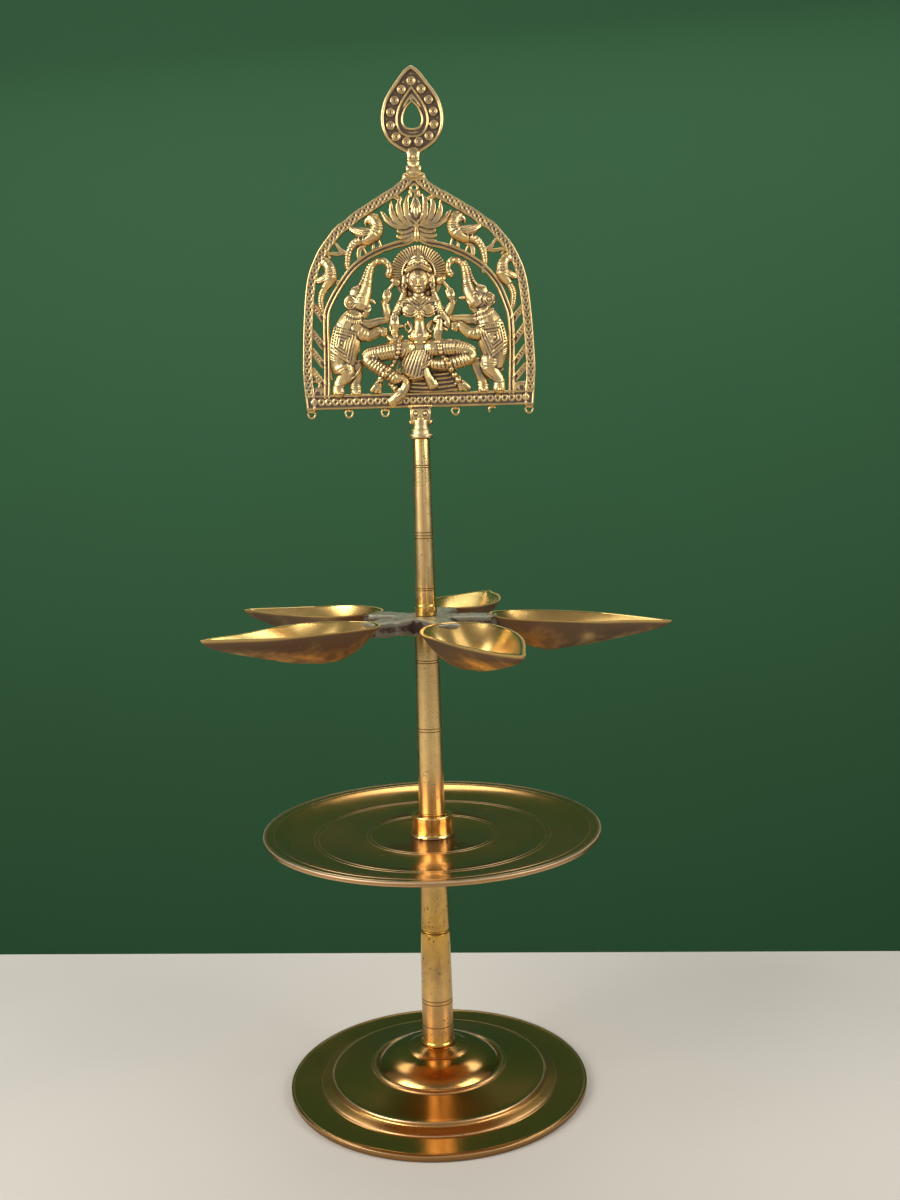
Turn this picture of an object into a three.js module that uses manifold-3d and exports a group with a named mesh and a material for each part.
// Kamakshi lamp: a turned brass stand with a drip tray, a star of five leaf-shaped oil bowls,
// and a pierced relief panel under a leaf finial. Millimetres, +Z up. The origin is the middle
// of the foot on the floor, and the panel faces -Y.

import * as THREE from 'three';
import { mergeVertices } from 'three/addons/utils/BufferGeometryUtils.js';
import Module from 'manifold-3d';

const wasm = await Module();
wasm.setup();
const { Manifold, Mesh: SolidMesh } = wasm;

// Fits
const clearance = 0.3; // left between pieces that touch
const overrun = 6; // how far a cutter runs past the face that it cuts
const mergeDistance = 1e-4;

// Foot: radii and heights of the turned steps, from the rim to the middle
const foot = {
  rimRadius: 138,
  rimHeight: 7,
  rimUndercut: 1.6,
  rimWidth: 7,
  lipWidth: 3.4,
  plateHeight: 6.4,
  ridgeRadius: 109.5,
  ridgeWidth: 4,
  ridgeHeight: 8.8,
  stepRadius: 98.8,
  stepHeight: 13.8,
  stepDrop: 1,
  domeRadius: 63,
  domeHeight: 21,
  beadWidth: 4,
  beadRise: 1.8,
  shoulderRadius: 46,
  shoulderHeight: 29.5,
  topRadius: 20,
  topHeight: 39.3,
  wall: 4,
  bossRadius: 17,
  sides: 36,
};

// Stems: solid turned bars with a plain spigot where the real one is threaded
const lowerStem = {
  length: 199.1,
  lipRadius: 15.4,
  lipHeight: 2.4,
  footRadius: 14.4,
  bellyRadius: 14.4,
  bellyHeight: 62,
  grooveHeight: 108,
  grooveWidth: 1.6,
  grooveDepth: 0.8,
  grooveRadius: 13.7,
  topRadius: 12.6,
  spigotRadius: 8,
  spigotLength: 20,
};
const middleStem = {
  length: 170.1,
  footRadius: 11.9,
  topRadius: 10.8,
};
const upperStem = {
  length: 157.4,
  ringRadius: 9.7,
  ringHeight: 10,
  footRadius: 8.9,
  waistRadius: 8.4,
  waistHeight: 72,
  topRadius: 7.5,
};
const columnSides = 20;
const threadEngagement = 18; // how far a spigot reaches into the bore above it
const boreRunout = 2.5; // how much deeper a bore is than the spigot in it
const lowerSpigotRadius = 7;
const middleSpigotRadius = 5;
const upperSpigotRadius = 4.5;

// Drip tray and the collar brazed on it
const tray = {
  rimRadius: 154,
  depth: 5,
  wall: 3,
  rimThickness: 4.1,
  rimWidth: 2.6,
  flatRadius: 104,
  ringWidth: 2,
  ringRise: 0.7,
  innerRingRadius: 58,
  outerRingRadius: 143,
  sides: 36,
};
const collar = {
  radius: 18.8,
  height: 19,
  filletWidth: 2.6,
  filletHeight: 2.6,
  seatDepth: 5,
  gap: 1.3, // open ring between the middle stem and the collar's mouth
  mouthBevel: 0.8,
};

// Star: the cast hub and its five bowls
const hub = {
  thickness: 15,
  armReach: 60,
  armHalfWidth: 11,
  armTipHalfWidth: 9,
  coreRadius: 22,
  edgeRound: 1.6,
  armOverlap: 14,
};
const bowlCount = 5;
const starAngleDegrees = 1.5; // the first arm's direction, from +X
const bowl = {
  length: 166,
  halfWidth: 38,
  depth: 30,
  wall: 2.5,
  tipSolid: 7,
  innerRadius: 57,
  sides: 24,
  rings: 4,
};
const bowlSharpnessShare = 1.25;
const bowlPoleShare = 0.33; // where the deepest point lies along the length
const bowlSideCurveShare = 2.3;
const bowlTipCurveShare = 1.35;
const bowlTipFocusShare = 4;
const bowlDroopDegrees = [3.5, 0.9, 1.8, -0.7, 1.5];

// Relief panel and the socket under it. The relief is drawn in hundredths of the panel's
// height, and is stretched to these sizes.
const panel = {
  height: 197.5,
  halfWidth: 101.5,
  relief: 16,
  backOffset: 4,
};
const socket = {
  height: 27,
  flangeRadius: 10.2,
  flangeHeight: 3.4,
  flareRadius: 8.8,
  flareHeight: 4.5,
  waistRadius: 7.2,
  waistHeight: 13,
  blockHalfWidth: 9.7,
  blockHalfDepth: 8.4,
  blockLap: 3,
  boreDepth: 18,
};

// Leaf finial
const finial = {
  neckHeight: 18.4,
  neckRadius: 5.6,
  neckLap: 5,
  footRadius: 6.4,
  knuckleRadius: 7.4,
  knuckleHeight: 7,
  leafHeight: 70.9,
  leafHalfWidth: 26.8,
  thickness: 4,
  ridgeWidth: 2,
  ridgeRise: 1.6,
  holeHeight: 23,
  holeHalfWidth: 7.5,
  holeBottom: 19,
  collarHeight: 39,
  collarHalfWidth: 12.8,
  collarBottom: 12.4,
  bossRadius: 3.9,
  bossRise: 1.2,
  bossPathBottom: 7.4,
  bossPathHeight: 51,
  bossPathHalfWidth: 19,
};
const bossTurnShares = [0, 0.28, 0.42, 0.54, 0.66, 0.79, 0.93, -0.28, -0.42, -0.54, -0.66, -0.79, -0.93];
const bossSides = 7;
const neckSides = 10;
const neckDepthShare = 0.62;
const leafSharpnessShare = 0.9;
const leafSteps = 22;

// What the columns reach through
const lowerSpigotReach = clearance + tray.wall + clearance + collar.height - collar.seatDepth
  + clearance + threadEngagement;
const middleSpigotReach = clearance + hub.thickness + clearance + threadEngagement;
const middleSeat = tray.wall + clearance + collar.height - collar.seatDepth + clearance;

// Solids

function solid(geometry) {
  const bare = new THREE.BufferGeometry();
  bare.setAttribute('position', geometry.getAttribute('position'));
  if (geometry.index) bare.setIndex(geometry.index);
  const merged = mergeVertices(bare, mergeDistance);
  const index = merged.index.array;
  const triangles = [];
  for (let i = 0; i < index.length; i += 3) {
    const [a, b, c] = [index[i], index[i + 1], index[i + 2]];
    if (a !== b && b !== c && c !== a) triangles.push(a, b, c);
  }
  const vertProperties = Float32Array.from(merged.getAttribute('position').array);
  const make = (list) =>
    new Manifold(new SolidMesh({ numProp: 3, vertProperties, triVerts: Uint32Array.from(list) }));
  const body = make(triangles);
  return body.volume() < 0 ? make(triangles.reverse()) : body;
}

function geometryOf(body) {
  const mesh = body.getMesh();
  const geometry = new THREE.BufferGeometry();
  geometry.setAttribute('position', new THREE.BufferAttribute(Float32Array.from(mesh.vertProperties), 3));
  geometry.setIndex(new THREE.BufferAttribute(Uint32Array.from(mesh.triVerts), 1));
  geometry.computeVertexNormals();
  return geometry;
}

// A body of revolution about +Z from [radius, height] points
function turned(profile, sides) {
  const points = profile.map(([radius, height]) => new THREE.Vector2(radius, height));
  return solid(new THREE.LatheGeometry(points, sides).rotateX(Math.PI / 2));
}

// An outline in X and Z, given depth towards -Y from its back to its front
function plate(shape, back, front, curveSegments) {
  const depth = back - front;
  const geometry = new THREE.ExtrudeGeometry(shape, { depth, bevelEnabled: false, curveSegments });
  return solid(geometry.rotateX(Math.PI / 2).translate(0, back, 0));
}

// A closed skin over rings of points: every ring has as many points, or one at a pole
function stacked(rings) {
  const sides = Math.max(...rings.map((ring) => ring.length));
  const positions = rings.flat().flatMap((point) => [point.x, point.y, point.z]);
  const starts = [];
  let count = 0;
  for (const ring of rings) {
    starts.push(count);
    count += ring.length;
  }
  const at = (row, side) => starts[row] + (rings[row].length === 1 ? 0 : side % sides);
  const index = [];
  for (let row = 0; row + 1 < rings.length; row += 1) {
    for (let side = 0; side < sides; side += 1) {
      index.push(at(row, side), at(row, side + 1), at(row + 1, side + 1));
      index.push(at(row, side), at(row + 1, side + 1), at(row + 1, side));
    }
  }
  const geometry = new THREE.BufferGeometry();
  geometry.setAttribute('position', new THREE.Float32BufferAttribute(positions, 3));
  geometry.setIndex(index);
  return solid(geometry);
}

const fused = (bodies) => Manifold.union(bodies);

// Outlines

const miterLimitShare = 0.45;

// Half of a pear curve's height over its length, tip first: 0 at the tip, 1 at the widest place
function pearShare(turn, sharpness) {
  const widest = Math.acos(1 / Math.sqrt(2 + sharpness));
  const peak = Math.sin(2 * widest) * Math.sin(widest) ** sharpness;
  return (Math.sin(turn) * Math.abs(Math.sin(turn / 2)) ** sharpness) / peak;
}

// A closed teardrop with its round end at 0 and its tip at `length`: [along, across] points,
// anticlockwise from the tip
function teardrop(length, halfWidth, sharpness, steps) {
  return Array.from({ length: steps }, (_, step) => {
    const turn = (2 * Math.PI * step) / steps;
    return [(length * (1 + Math.cos(turn))) / 2, halfWidth * pearShare(turn, sharpness)];
  });
}

// The same stood upright
const uprightShape = (outline, bottom) =>
  new THREE.Shape(outline.map(([along, across]) => new THREE.Vector2(-across, along + bottom)));

// A closed outline moved inwards by `distance`, less the points that would cross the middle
function inset(points, distance) {
  const count = points.length;
  const direction = (from, to) => to.clone().sub(from).normalize();
  const moved = points.map((point, i) => {
    const before = direction(points[(i + count - 1) % count], point);
    const after = direction(point, points[(i + 1) % count]);
    const inward = new THREE.Vector2(-before.y - after.y, before.x + after.x).normalize();
    const lean = Math.max(inward.dot(new THREE.Vector2(-after.y, after.x)), miterLimitShare);
    return point.clone().addScaledVector(inward, distance / lean);
  });
  return moved.filter((point, i) => point.x * points[i].x > 0 || points[i].x === 0);
}

// Foot

const footTopBore = lowerStem.spigotRadius + clearance;

function footSolid() {
  const f = foot;
  const under = (height) => height - f.wall;
  const boreDepth = lowerStem.spigotLength + boreRunout;
  const boreBottom = f.topHeight - boreDepth;
  const beadInner = f.domeRadius - f.beadWidth;
  const hollowRadius = f.rimRadius - f.rimWidth;
  return turned(
    [
      [0, boreBottom],
      [footTopBore, boreBottom],
      [footTopBore, f.topHeight],
      [f.topRadius, f.topHeight],
      [f.shoulderRadius, f.shoulderHeight],
      [beadInner - f.beadWidth / 2, f.domeHeight + f.beadRise],
      [beadInner, f.domeHeight],
      [f.domeRadius - f.beadWidth / 2, f.domeHeight + f.beadRise],
      [f.domeRadius, f.domeHeight - f.beadRise],
      [f.stepRadius - f.ridgeWidth, f.stepHeight - f.stepDrop],
      [f.stepRadius, f.stepHeight],
      [f.ridgeRadius - f.ridgeWidth, f.ridgeHeight - f.stepDrop],
      [f.ridgeRadius - f.ridgeWidth / 2, f.ridgeHeight],
      [f.ridgeRadius, f.plateHeight],
      [f.rimRadius - f.lipWidth, f.plateHeight],
      [f.rimRadius - f.lipWidth / 2, f.rimHeight],
      [f.rimRadius, f.rimHeight - f.rimUndercut],
      [f.rimRadius, f.rimUndercut],
      [f.rimRadius - f.rimUndercut, 0],
      [hollowRadius, 0],
      [hollowRadius, under(f.plateHeight)],
      [f.ridgeRadius - f.ridgeWidth, under(f.plateHeight)],
      [f.stepRadius - f.ridgeWidth, under(f.stepHeight) - f.stepDrop],
      [f.domeRadius, under(f.domeHeight) - f.beadRise],
      [f.shoulderRadius, under(f.shoulderHeight) - f.beadRise],
      [f.bossRadius, under(f.shoulderHeight)],
      [f.bossRadius, 0],
      [0, 0],
    ],
    f.sides,
  );
}

// Stems

function lowerStemSolid() {
  const s = lowerStem;
  const grooveTop = s.grooveHeight + s.grooveWidth;
  const spigotTop = s.length + lowerSpigotReach;
  return turned(
    [
      [0, -s.spigotLength],
      [s.spigotRadius, -s.spigotLength],
      [s.spigotRadius, 0],
      [s.lipRadius, 0],
      [s.lipRadius, s.lipHeight],
      [s.footRadius, s.lipHeight],
      [s.bellyRadius, s.bellyHeight],
      [s.grooveRadius, s.grooveHeight],
      [s.grooveRadius - s.grooveDepth, s.grooveHeight],
      [s.grooveRadius - s.grooveDepth, grooveTop],
      [s.topRadius, s.length],
      [lowerSpigotRadius, s.length],
      [lowerSpigotRadius, spigotTop],
      [0, spigotTop],
    ],
    columnSides,
  );
}

function middleStemSolid() {
  const s = middleStem;
  const boreRadius = lowerSpigotRadius + clearance;
  const boreTop = threadEngagement + boreRunout;
  const spigotTop = s.length + middleSpigotReach;
  return turned(
    [
      [0, boreTop],
      [boreRadius, boreTop],
      [boreRadius, 0],
      [s.footRadius, 0],
      [s.topRadius, s.length],
      [middleSpigotRadius, s.length],
      [middleSpigotRadius, spigotTop],
      [0, spigotTop],
    ],
    columnSides,
  );
}

function upperStemSolid() {
  const s = upperStem;
  const boreRadius = middleSpigotRadius + clearance;
  const boreTop = threadEngagement + boreRunout;
  const spigotTop = s.length + socket.boreDepth - boreRunout;
  return turned(
    [
      [0, boreTop],
      [boreRadius, boreTop],
      [boreRadius, 0],
      [s.ringRadius, 0],
      [s.ringRadius, s.ringHeight],
      [s.footRadius, s.ringHeight],
      [s.waistRadius, s.waistHeight],
      [s.topRadius, s.length],
      [upperSpigotRadius, s.length],
      [upperSpigotRadius, spigotTop],
      [0, spigotTop],
    ],
    columnSides,
  );
}

// Tray and collar

function traySolid() {
  const t = tray;
  const holeRadius = lowerSpigotRadius + clearance;
  const ring = (radius, height) => [
    [radius, height],
    [radius + t.ringWidth / 2, height + t.ringRise],
    [radius + t.ringWidth, height],
  ];
  const riseAt = (radius) => (t.depth * (radius - t.flatRadius)) / (t.rimRadius - t.flatRadius);
  const rimInner = t.rimRadius - t.rimWidth;
  return turned(
    [
      [holeRadius, 0],
      [holeRadius, t.wall],
      ...ring(t.innerRingRadius, t.wall),
      ...ring(t.flatRadius, t.wall),
      ...ring(t.outerRingRadius, t.wall + riseAt(t.outerRingRadius)),
      [rimInner, t.wall + riseAt(rimInner)],
      [t.rimRadius, t.wall + t.depth],
      [t.rimRadius, t.wall + t.depth - t.rimThickness],
      [t.flatRadius, 0],
      [holeRadius, 0],
    ],
    t.sides,
  );
}

const collarBore = lowerSpigotRadius + clearance;

function collarSolid() {
  const c = collar;
  const mouth = middleStem.footRadius + c.gap;
  const seat = c.height - c.seatDepth;
  return turned(
    [
      [collarBore, 0],
      [c.radius + c.filletWidth, 0],
      [c.radius, c.filletHeight],
      [c.radius, c.height - c.mouthBevel],
      [c.radius - c.mouthBevel, c.height],
      [mouth, c.height],
      [mouth, seat],
      [collarBore, seat],
      [collarBore, 0],
    ],
    columnSides,
  );
}

// Star

// Rings of one skin of a bowl, from its rim down to the pole under its deepest point
function bowlRings(outline, poleAlong, depth) {
  const pole = new THREE.Vector2(poleAlong, 0);
  const rings = [];
  for (let ring = 0; ring < bowl.rings; ring += 1) {
    const reach = 1 - ring / bowl.rings;
    rings.push(
      outline.map(([along, across]) => {
        const spoke = new THREE.Vector2(along, across).sub(pole);
        const towardsTip = Math.max(0, spoke.x / spoke.length()) ** bowlTipFocusShare;
        const curve = bowlSideCurveShare + (bowlTipCurveShare - bowlSideCurveShare) * towardsTip;
        const point = pole.clone().addScaledVector(spoke, reach);
        return new THREE.Vector3(point.x, point.y, -depth * (1 - reach ** curve));
      }),
    );
  }
  rings.push([new THREE.Vector3(poleAlong, 0, -depth)]);
  return rings;
}

const bowlOutline = (grow) =>
  teardrop(bowl.length + 2 * grow, bowl.halfWidth + grow, bowlSharpnessShare, bowl.sides).map(
    ([along, across]) => [along - grow, across],
  );

function bowlSolid() {
  const poleAlong = bowl.length * bowlPoleShare;
  const inner = bowlOutline(-bowl.wall).map(([along, across]) => {
    const share = (along - bowl.wall) / (bowl.length - 2 * bowl.wall);
    return [along - bowl.tipSolid * share, across];
  });
  const innerRings = bowlRings(inner, poleAlong, bowl.depth - bowl.wall).reverse();
  return stacked([...innerRings, ...bowlRings(bowlOutline(0), poleAlong, bowl.depth)]);
}

// The room that a bowl takes out of the hub
function bowlRoom() {
  const rings = bowlRings(bowlOutline(clearance), bowl.length * bowlPoleShare, bowl.depth + clearance);
  const top = rings[0].map((point) => point.clone().setZ(hub.thickness));
  return stacked([[new THREE.Vector3(bowl.length * bowlPoleShare, 0, hub.thickness)], top, ...rings]);
}

function bowlPlacement(number) {
  const azimuth = THREE.MathUtils.degToRad(starAngleDegrees + (360 * number) / bowlCount);
  const droop = THREE.MathUtils.degToRad(bowlDroopDegrees[number % bowlDroopDegrees.length]);
  const matrix = new THREE.Matrix4().makeRotationZ(azimuth);
  matrix.multiply(new THREE.Matrix4().makeTranslation(bowl.innerRadius, 0, hub.thickness));
  return matrix.multiply(new THREE.Matrix4().makeRotationY(droop));
}

function hubSolid() {
  const outline = [];
  const valley = Math.PI / bowlCount;
  const tipReach = hub.armReach + hub.armOverlap;
  for (let arm = 0; arm < bowlCount; arm += 1) {
    const azimuth = THREE.MathUtils.degToRad(starAngleDegrees) + 2 * valley * arm;
    const local = [
      [hub.coreRadius, -hub.armHalfWidth],
      [tipReach, -hub.armTipHalfWidth],
      [tipReach, hub.armTipHalfWidth],
      [hub.coreRadius, hub.armHalfWidth],
    ];
    for (const [along, across] of local) {
      outline.push(new THREE.Vector2(along, across).rotateAround(new THREE.Vector2(), azimuth));
    }
  }
  const star = new THREE.ExtrudeGeometry(new THREE.Shape(outline), {
    depth: hub.thickness - 2 * hub.edgeRound,
    bevelThickness: hub.edgeRound,
    bevelSize: hub.edgeRound,
    bevelSegments: 1,
  }).translate(0, 0, hub.edgeRound);
  const boreRadius = middleSpigotRadius + clearance;
  const bore = turned(
    [
      [0, -overrun],
      [boreRadius, -overrun],
      [boreRadius, hub.thickness + overrun],
      [0, hub.thickness + overrun],
    ],
    columnSides,
  );
  const rooms = Array.from({ length: bowlCount }, (_, number) =>
    bowlRoom().transform(bowlPlacement(number).elements),
  );
  return solid(star).subtract(fused([bore, ...rooms]));
}

// Relief panel. The relief is drawn in hundredths of the panel's height: X to the side, Z up
// from the underside of the bar, and a rise above the flat back. The tables hold one side where
// the two sides mirror each other.

const drawnHalfWidthShare = 51.4;
const drawnReliefShare = 8.1;
const drawnHeightShare = 100;
const stretch = [
  panel.halfWidth / drawnHalfWidthShare,
  panel.relief / drawnReliefShare,
  panel.height / drawnHeightShare,
];

const limbSides = 5;
const ridgedSides = 4; // leaves, petals and birds have a ridge down the middle
const ballSides = 6;
const ballRows = 4;
const loopSides = 4;
const loopSteps = 8;
const outlineSegments = 6;
const capShare = 0.6;

// Straight rows are [x, z]; curved rows are two handles and an end
const frameSideShares = [
  [50.6, 0],
  [51.4, 12],
  [50, 43],
  [49.4, 64, 41, 76, 25, 86.3],
  [15, 92.3, 6.5, 96, 4.3, 100],
];
const archSideShares = [
  [42.2, 3],
  [41.8, 38],
  [41.8, 50, 30, 66, 8.9, 72.2],
  [5, 73.2, 2, 74, 0, 76],
];
const bandShares = { frame: 4.1, edge: 0.9, arch: 2.2, bar: 6.6 };
const riseShares = { frame: 3, edge: 3.8, arch: 3.4, halo: 1.9, seat: 2.6, corner: 2.6 };
const haloShares = { at: [0.9, 58.8], radius: 12.2 };
const seatShares = [
  [-9, 5],
  [17.4, 5],
  [16.2, 10],
  [16.4, 15.6],
  [-8, 15.6],
];
const cornerShares = { left: -48, right: -40, bottom: 5, top: 12.2, holeAt: [-46, 10.3], holeRadius: 1 };
const hangingLoopShares = { sides: [48.7, 32.1, 15.8], drop: 1.6, radius: 1.75, wire: 0.5, rise: 1.6 };
const peakEyeShares = { at: [0, 94.6], radius: 1.6, wire: 0.6, rise: 1.6 };

// Balls: place, rise, half sizes in X, rise and Z, and a turn in degrees
const goddessBallShares = [
  { at: [0.7, 55.5], rise: 3.5, size: [4.5, 3.7, 5.4] },
  { at: [0.7, 56.7], rise: 2.3, size: [5.9, 2.5, 6.1] },
  { at: [0.7, 61.5], rise: 3.5, size: [5.1, 2.5, 2.3] },
  { at: [0.7, 44.4], rise: 2.5, size: [6.8, 2.8, 4.5] },
  { at: [0.7, 30.7], rise: 2.8, size: [5.9, 3, 2.7] },
  { at: [-9.5, 55.1], rise: 2.2, size: [2.6, 1.6, 2], turn: -35 },
  { at: [10.8, 55.5], rise: 2.2, size: [2.6, 1.6, 2], turn: 35 },
  { at: [-10.2, 36.9], rise: 4.4, size: [2, 1.5, 3] },
  { at: [-10.2, 40.2], rise: 4.4, size: [1.6, 1, 2.2] },
  { at: [9.1, 34.9], rise: 4.4, size: [2, 1.5, 3] },
  { at: [8.3, 30.6], rise: 4.4, size: [1.6, 1, 2.2] },
  { at: [-19.5, 8.9], rise: 2.2, size: [2.4, 1.5, 1.9] },
  { at: [20.1, 9.1], rise: 2.2, size: [2.5, 1.5, 1.9] },
  { at: [-2.9, 42.4], rise: 3.1, size: [3.6, 3, 3.1] },
  { at: [4.4, 42.4], rise: 3.1, size: [3.6, 3, 3.1] },
  { at: [-5, 53.2], rise: 2.7, size: [1.3, 1.5, 3.7] },
  { at: [6.4, 53.2], rise: 2.7, size: [1.3, 1.5, 3.7] },
  { at: [-2.7, 31.5], rise: 3.8, size: [1.7, 1.5, 1.5] },
  { at: [4.2, 31.5], rise: 3.8, size: [1.7, 1.5, 1.5] },
];
const elephantBallShares = [
  { at: [-25.5, 46.7], rise: 2.8, size: [4.5, 3.2, 4.4] },
  { at: [-26.8, 50.3], rise: 2.7, size: [3.2, 2.6, 3.1] },
  { at: [-29.7, 46.9], rise: 2.8, size: [2.4, 3.3, 2.6] },
  { at: [-15.7, 33.7], rise: 3.8, size: [1.9, 1.6, 2] },
  { at: [-33.1, 28.7], rise: 6.3, size: [5.4, 1.3, 7.1], turn: -14 },
];
const birdBallShares = [
  { at: [-17.3, 82.1], rise: 2.3, size: [2.3, 1.7, 2.2] },
  { at: [-39.2, 64.3], rise: 2.1, size: [1.9, 1.6, 1.8] },
];
const lotusBallShares = [
  { at: [0.5, 84.6], rise: 2.8, size: [2.8, 2, 5.1] },
  { at: [0.5, 75.1], rise: 1.8, size: [8.1, 1.7, 3.2] },
  { at: [0.5, 82.5], rise: 1.5, size: [7.6, 1.3, 5.1] },
];

// Limbs: rows of x, z, rise and radius
const goddessLimbShares = [
  [[0.7, 51.6, 2.5, 2.4], [0.7, 47.6, 2.7, 3]],
  [[0.7, 61.8, 3.8, 3.2], [0.7, 64.8, 3.5, 2.4], [0.7, 67.8, 2.8, 0.8]],
  [[0.7, 42, 2.5, 3.4], [0.7, 37.5, 2.7, 2.4], [0.7, 33.4, 2.9, 3.5]],
  [[0.5, 27.8, 2.5, 5.6], [-0.5, 21.8, 2.5, 6.1], [-1.8, 17.2, 2.2, 5.6]],
  [[-6.4, 45.6, 1.8, 1.8], [-9.9, 41.8, 1.7, 1.7], [-12.9, 39.3, 1.8, 1.6]],
  [[-13, 39.3, 1.9, 1.6], [-14.4, 45.4, 2.4, 1.4], [-13.2, 49.6, 2.5, 1.9], [-11.3, 53.4, 2.4, 0.9]],
  [[7.8, 45.6, 1.8, 1.8], [10.6, 42, 1.7, 1.7], [12.7, 40, 1.8, 1.6]],
  [[12.7, 40, 1.9, 1.6], [15.8, 45.3, 2.4, 1.4], [14.5, 49.6, 2.5, 1.9], [12.5, 53.7, 2.4, 0.9]],
  [[-7.2, 45.6, 2.7, 2], [-9.6, 41.3, 2.8, 1.8], [-11.4, 35.9, 3, 1.6], [-10, 31, 3.5, 1.6]],
  [[8.6, 45.6, 2.7, 2], [10.3, 41.5, 2.8, 1.8], [13, 38.5, 3.2, 1.6], [10.1, 38.3, 3.5, 1.6]],
  [[-4.1, 26.3, 2.8, 3.5], [-13.2, 25.2, 3.4, 3.4], [-22, 23.5, 3.5, 2.7]],
  [[-23.3, 21.8, 3.8, 2.5], [-16.7, 17.2, 4.1, 2.6], [-9.6, 12.7, 4.2, 2.1]],
  [[-6.6, 12.7, 4.3, 1.7], [-7.1, 7.8, 4.3, 1.9], [-12.7, 2.7, 3.5, 1.6]],
  [[5.1, 26.3, 2.8, 3.3], [14.7, 26.3, 3.4, 3.1], [22.6, 24.6, 3.5, 2.7]],
  [[24, 22.3, 3.8, 2.4], [13.7, 19.3, 4.1, 2.6], [3.8, 19.9, 4.1, 1.9]],
  [[2.9, 19.7, 4.3, 1.6], [3.5, 14.5, 4.4, 1.5], [5.9, 9.6, 3.7, 1.7]],
  [[-8.4, 28.9, 3, 1], [-10.5, 21.1, 4.1, 1.2], [-13.9, 16.3, 4.1, 1.5], [-18.7, 10.4, 2, 1.7]],
  [[8.9, 28.4, 3.5, 1], [11.6, 21.2, 4.3, 1.2], [14.2, 16.5, 3.7, 1.5], [18.4, 10.4, 2, 1.7]],
];
const elephantLimbShares = [
  [
    [-24.3, 46.1, 2.7, 4.1], [-22.7, 50.6, 2.8, 2.8], [-21.4, 56.2, 2.6, 2],
    [-20.3, 61.1, 2.4, 1.6], [-17.5, 63.6, 2.3, 1.4], [-13.7, 63.3, 2.4, 1.4],
    [-12.1, 60.1, 2.5, 1.5], [-13, 57.4, 2.6, 1.5],
  ],
  [[-23, 44.6, 3, 2.3], [-24.8, 40.8, 2.7, 1.8]],
  [[-27.8, 40.5, 2.8, 4.4], [-30.9, 35.4, 3, 5.8], [-32.6, 28.9, 3.2, 6.6], [-33.6, 21.3, 2.9, 5.8]],
  [[-33.4, 18.7, 3, 4.4], [-32.6, 15.4, 3.2, 3.4], [-35.4, 10.6, 2.8, 2.2]],
  [[-36.1, 10.1, 2.7, 2.4], [-36.1, 6.4, 2.7, 2.7]],
  [[-27.6, 20.3, 1.9, 2.5], [-28.1, 14.2, 1.9, 2], [-28.5, 9.6, 1.8, 2]],
  [[-28.5, 9.6, 1.8, 2.2], [-28.5, 6.3, 1.8, 2.4]],
  [[-27.8, 34.4, 3.2, 3], [-22.3, 31.9, 3.6, 2.3], [-17.4, 33.9, 3.8, 1.7]],
  [[-26.1, 37.5, 2.5, 2], [-20.3, 37, 2.5, 1.5], [-13.3, 38.7, 2.2, 1.1]],
  [[-39, 20.8, 2, 1], [-39.5, 15.2, 1.9, 1]],
];
const birdLimbShares = [
  [[-14.8, 81.5, 2.4, 1.5], [-15.1, 77.5, 2.5, 2.1], [-19.5, 73.4, 2.4, 2]],
  [[-18.7, 82.4, 2.2, 1], [-20.1, 80, 1.9, 0.5]],
  [[-17.2, 77, 2.9, 1.5], [-23.8, 76.8, 2.5, 1.3], [-28.9, 79.8, 1.8, 0.6]],
  [[-20.3, 72.6, 2.1, 1.6], [-26.8, 71.9, 2, 1.3], [-29.9, 65.8, 1.9, 1.1], [-29.4, 59.2, 1.8, 0.9]],
  [[-22.3, 71.4, 1.8, 1], [-25.4, 67.8, 1.7, 0.9], [-24.5, 63.5, 1.6, 0.9]],
  [[-17.5, 73.9, 2, 1], [-17.4, 69.4, 1.8, 1]],
  [[-29.9, 68.2, 1.7, 1], [-33.9, 70.4, 1.7, 1], [-38.2, 74.1, 1.7, 1]],
  [[-30.4, 67.9, 1.7, 1], [-41.5, 67.5, 1.7, 1]],
  [[-37.2, 63.3, 2.3, 1.5], [-36.4, 59.4, 2.4, 1.7], [-39.2, 54.2, 2.2, 1.6]],
  [[-40.2, 64.3, 2.1, 0.9], [-41.2, 62.6, 1.8, 0.5]],
  [[-38, 57.7, 2.6, 1.3], [-46.1, 56.9, 1.9, 0.9]],
  [[-39.2, 54.2, 2.1, 1.5], [-42.2, 49.1, 2, 1.3], [-41.2, 41.5, 1.8, 1]],
  [[-36.3, 57.7, 2, 1], [-34, 54.5, 1.8, 1]],
  [[-38.2, 65.3, 1.8, 0.8], [-40.5, 68.9, 1.7, 0.8]],
];
const lotusLimbShares = [
  [[1.3, 79, 2.2, 1.3], [3.1, 85.1, 2.5, 1.5], [2, 92.7, 1.9, 0.5]],
  [[1.8, 79, 2.1, 1.3], [5.2, 84.6, 2.4, 1.5], [4.5, 92.2, 1.8, 0.5]],
  [[2.4, 79, 1.9, 1.3], [7.3, 84.1, 2.2, 1.5], [7.1, 91.3, 1.7, 0.5]],
  [[2.8, 78.8, 1.7, 1.3], [8.9, 82.5, 2, 1.5], [10.3, 89.4, 1.6, 0.5]],
  [[3, 78.7, 1.6, 1.2], [9.8, 80.4, 1.9, 1.4], [14.1, 85.8, 1.5, 0.5]],
  [[2.5, 78.5, 1.6, 1.1], [8.6, 77.9, 1.8, 1.2], [12.7, 79.7, 1.5, 0.5]],
];
const strutShares = { outer: 46.8, middle: 43.6, inner: 40, drop: 6.4, radius: 1.7, tipRadius: 1.2 };
const strutTopShares = [44.8, 33.6, 24.8, 17.8];
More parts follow.
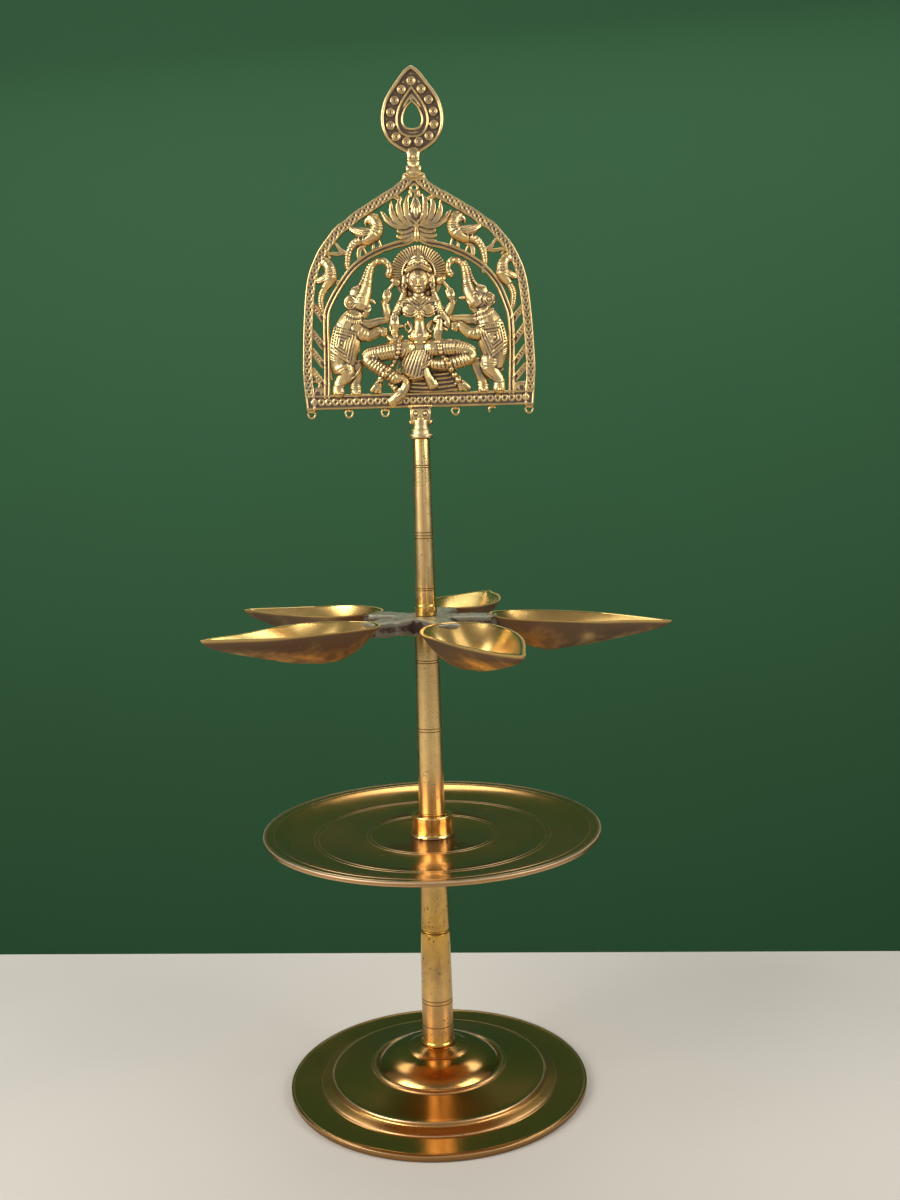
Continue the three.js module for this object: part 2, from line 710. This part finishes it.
const brokenLoopShares = [
  [30.6, 0.2, 1.6, 0.5],
  [30.3, -1.8, 1.6, 0.5],
  [31.7, -3.3, 1.6, 0.5],
  [33.1, -3, 1.6, 0.45],
];
const brokenLoopNumber = 1; // counted from the outside, on the +X side

// A ball stretched to three half sizes, and turned in the panel's plane
function ball({ at, rise, size, turn = 0 }) {
  const geometry = new THREE.SphereGeometry(1, ballSides, ballRows).rotateX(Math.PI / 2);
  geometry.scale(...size).rotateY(-THREE.MathUtils.degToRad(turn));
  return solid(geometry.translate(at[0], -rise, at[1]));
}

// A tapering limb through its places
function limb(places, sides = limbSides) {
  const centres = new THREE.CatmullRomCurve3(places.map(([x, z, rise]) => new THREE.Vector3(x, -rise, z)));
  const radii = new THREE.CatmullRomCurve3(places.map(([, , , radius]) => new THREE.Vector3(radius, 0, 0)));
  const steps = places.length - 1;
  const faceOn = new THREE.Vector3(0, 1, 0);
  const rings = [];
  for (let step = 0; step <= steps; step += 1) {
    const centre = centres.getPoint(step / steps);
    const radius = radii.getPoint(step / steps).x;
    const along = centres.getTangent(step / steps);
    const across = new THREE.Vector3().crossVectors(along, faceOn).normalize();
    const outward = new THREE.Vector3().crossVectors(across, along).normalize();
    const onRing = (_, side) => {
      const turn = (2 * Math.PI * side) / sides;
      const point = centre.clone().addScaledVector(across, radius * Math.cos(turn));
      return point.addScaledVector(outward, radius * Math.sin(turn));
    };
    const cap = (sign) => [centre.clone().addScaledVector(along, sign * radius * capShare)];
    if (step === 0) rings.push(cap(-1));
    rings.push(Array.from({ length: sides }, onRing));
    if (step === steps) rings.push(cap(1));
  }
  return stacked(rings);
}

const ridged = (places) => limb(places, ridgedSides);

function eye({ at, radius, wire, rise }) {
  const geometry = new THREE.TorusGeometry(radius, wire, loopSides, loopSteps).rotateX(Math.PI / 2);
  return solid(geometry.translate(at[0], -rise, at[1]));
}

const mirrored = (body) => body.mirror([1, 0, 0]);
const onBothSides = (bodies) => [...bodies, ...bodies.map(mirrored)];

// An outline that mirrors its right side, anticlockwise from the bottom right
function archedOutline([start, ...rows]) {
  const path = new THREE.Path();
  path.moveTo(...start);
  for (const row of rows) {
    if (row.length === 2) path.lineTo(...row);
    else path.bezierCurveTo(...row);
  }
  const right = path.getPoints(outlineSegments);
  const left = right.filter((point) => point.x > 0).map((point) => new THREE.Vector2(-point.x, point.y));
  return [...right, ...left.reverse()];
}

// A band between an outline moved inwards by two distances. Its lower stretch can be lifted.
function band(outline, [from, to], [liftFrom, liftTo], rise) {
  const lifted = (distance, lift) =>
    inset(outline, distance).map((point) => point.setY(Math.max(point.y, lift)));
  const shape = new THREE.Shape(lifted(from, liftFrom));
  shape.holes.push(new THREE.Path(lifted(to, liftTo)));
  return plate(shape, 0, -rise);
}

function frameSolids() {
  const outline = archedOutline(frameSideShares);
  const { frame, edge, bar } = bandShares;
  return [
    band(outline, [0, frame], [0, bar], riseShares.frame),
    band(outline, [0, edge], [0, edge], riseShares.edge),
    band(outline, [frame - edge, frame], [bar - edge, bar], riseShares.edge),
  ];
}

function innerArchSolid() {
  const outline = archedOutline(archSideShares);
  const bottom = archSideShares[0][1];
  return band(outline, [0, bandShares.arch], [bottom, bottom + bandShares.arch], riseShares.arch);
}

function strutSolids() {
  const s = strutShares;
  return strutTopShares.map((top) =>
    ridged([
      [-s.outer, top, riseShares.frame / 2, s.tipRadius],
      [-s.middle, top - s.drop / 2, riseShares.frame / 2, s.radius],
      [-s.inner, top - s.drop, riseShares.frame / 2, s.tipRadius],
    ]),
  );
}

function cornerShape(withHole) {
  const c = cornerShares;
  const corners = [
    [c.left, c.bottom],
    [c.right, c.bottom],
    [c.right, c.top],
    [c.left, c.top],
  ];
  const shape = new THREE.Shape(corners.map((corner) => new THREE.Vector2(...corner)));
  if (withHole) {
    const hole = new THREE.Path();
    hole.absarc(...c.holeAt, c.holeRadius, 0, 2 * Math.PI);
    shape.holes.push(hole);
  }
  return shape;
}

function hangingLoopSolids() {
  const h = hangingLoopShares;
  const hanging = (side) => eye({ ...h, at: [side, -h.drop] });
  const left = h.sides.map((side) => hanging(-side));
  const right = h.sides.map((side, number) =>
    number === brokenLoopNumber ? limb(brokenLoopShares) : hanging(side),
  );
  return [...left, ...right];
}

function figureSolids() {
  const halo = new THREE.Shape();
  halo.absarc(...haloShares.at, haloShares.radius, 0, 2 * Math.PI);
  const seat = new THREE.Shape(seatShares.map((corner) => new THREE.Vector2(...corner)));
  const elephant = [...elephantBallShares.map(ball), ...elephantLimbShares.map((places) => limb(places))];
  const birds = [...birdBallShares.map(ball), ...birdLimbShares.map(ridged)];
  return [
    plate(halo, 0, -riseShares.halo, outlineSegments),
    plate(seat, 0, -riseShares.seat),
    ...goddessBallShares.map(ball),
    ...goddessLimbShares.map((places) => limb(places)),
    ...lotusBallShares.map(ball),
    ...onBothSides([
      ...lotusLimbShares.map(ridged),
      ...elephant,
      ...birds,
      ...strutSolids(),
    ]),
  ];
}

function reliefSolid() {
  const corner = plate(cornerShape(true), 0, -riseShares.corner);
  const plainCorner = mirrored(plate(cornerShape(false), 0, -riseShares.corner));
  const everything = [
    ...frameSolids(),
    innerArchSolid(),
    corner,
    plainCorner,
    ...hangingLoopSolids(),
    eye(peakEyeShares),
    ...figureSolids(),
  ];
  const frontOnly = fused(everything).trimByPlane([0, -1, 0], 0);
  return frontOnly.scale(stretch).translate([0, panel.backOffset, 0]);
}

// The socket under the bar: a block that laps the bar, a waist, a flare and a flange
function socketSolid() {
  const s = socket;
  const blockBottom = s.waistHeight;
  const turnedPart = turned(
    [
      [0, 0],
      [s.flangeRadius, 0],
      [s.flangeRadius, s.flangeHeight],
      [s.flareRadius, s.flangeHeight],
      [s.flareRadius, s.flangeHeight + s.flareHeight],
      [s.waistRadius, s.waistHeight],
      [s.waistRadius, s.height],
      [0, s.height],
    ],
    columnSides,
  );
  const block = new THREE.BoxGeometry(
    2 * s.blockHalfWidth,
    2 * s.blockHalfDepth,
    s.height + s.blockLap - blockBottom,
  );
  block.translate(0, 0, (s.height + s.blockLap + blockBottom) / 2);
  const boreRadius = upperSpigotRadius + clearance;
  const bore = turned(
    [
      [0, -overrun],
      [boreRadius, -overrun],
      [boreRadius, s.boreDepth],
      [0, s.boreDepth],
    ],
    columnSides,
  );
  return fused([turnedPart, solid(block)]).subtract(bore);
}

function panelSolid() {
  return fused([reliefSolid().translate([0, 0, socket.height]), socketSolid()]);
}

// Finial

function finialSolid() {
  const f = finial;
  const face = f.thickness / 2;
  const outlineOf = (height, halfWidth, bottom) =>
    uprightShape(teardrop(height, halfWidth, leafSharpnessShare, leafSteps), f.neckHeight + bottom);
  const hole = outlineOf(f.holeHeight, f.holeHalfWidth, f.holeBottom);
  const leaf = outlineOf(f.leafHeight, f.leafHalfWidth, 0);
  leaf.holes.push(hole);
  const ridge = (height, halfWidth, bottom) => {
    const outline = outlineOf(height, halfWidth, bottom);
    const width = f.ridgeWidth;
    outline.holes.push(outlineOf(height - 2 * width, halfWidth - width, bottom + width));
    return plate(outline, face, -face - f.ridgeRise);
  };
  const bossHeight = f.thickness + f.bossRise;
  const bosses = bossTurnShares.map((share) => {
    const turn = Math.PI * share;
    const along = f.bossPathBottom + (f.bossPathHeight * (1 + Math.cos(turn))) / 2;
    const across = f.bossPathHalfWidth * pearShare(turn, leafSharpnessShare);
    const boss = new THREE.CylinderGeometry(f.bossRadius, f.bossRadius, bossHeight, bossSides);
    return solid(boss.translate(across, face - bossHeight / 2, f.neckHeight + along));
  });
  const neck = turned(
    [
      [0, 0],
      [f.footRadius, 0],
      [f.knuckleRadius, f.knuckleHeight / 2],
      [f.neckRadius, f.knuckleHeight],
      [f.neckRadius, f.neckHeight],
      [f.footRadius, f.neckHeight + f.neckLap],
      [0, f.neckHeight + f.neckLap],
    ],
    neckSides,
  ).scale([1, neckDepthShare, 1]);
  return fused([
    plate(leaf, face, -face),
    ridge(f.leafHeight, f.leafHalfWidth, 0),
    ridge(f.collarHeight, f.collarHalfWidth, f.collarBottom),
    ...bosses,
    neck.subtract(plate(hole, overrun, -overrun)),
  ]);
}

// Materials

const metal = (color, roughness) => new THREE.MeshStandardMaterial({ color, roughness, metalness: 1 });
const turnedBrass = metal(0xcda55a, 0.28);
const polishedBrass = metal(0x9a7a42, 0.16);
const castBrass = metal(0xb08d50, 0.42);
const bowlBrass = metal(0xc8a25c, 0.3);
const roughCasting = metal(0x7c7464, 0.62);

// Assembly: every tier stands on the one below it

function piece(name, body, material, z = 0) {
  const mesh = new THREE.Mesh(geometryOf(body), material);
  mesh.name = name;
  mesh.position.z = z;
  return mesh;
}

const lamp = new THREE.Group();
const trayTier = new THREE.Group();
const starTier = new THREE.Group();
const crownTier = new THREE.Group();

trayTier.position.z = foot.topHeight + clearance + lowerStem.length + clearance;
trayTier.add(piece('tray', traySolid(), polishedBrass));
trayTier.add(piece('tray_collar', collarSolid(), turnedBrass, tray.wall + clearance));
trayTier.add(piece('middle_stem', middleStemSolid(), turnedBrass, middleSeat));

starTier.position.z = trayTier.position.z + middleSeat + middleStem.length + clearance;
starTier.add(piece('star_hub', hubSolid(), roughCasting));
for (let number = 0; number < bowlCount; number += 1) {
  const mesh = piece(`lamp_bowl_${number + 1}`, bowlSolid(), bowlBrass);
  mesh.applyMatrix4(bowlPlacement(number));
  starTier.add(mesh);
}
starTier.add(piece('upper_stem', upperStemSolid(), turnedBrass, hub.thickness + clearance));

crownTier.position.z = starTier.position.z + hub.thickness + clearance + upperStem.length + clearance;
crownTier.add(piece('relief_panel', panelSolid(), castBrass));
crownTier.add(piece('leaf_finial', finialSolid(), castBrass, socket.height + panel.height + clearance));

lamp.add(piece('base_foot', footSolid(), polishedBrass));
lamp.add(piece('lower_stem', lowerStemSolid(), turnedBrass, foot.topHeight + clearance));
lamp.add(trayTier, starTier, crownTier);

export default lamp;
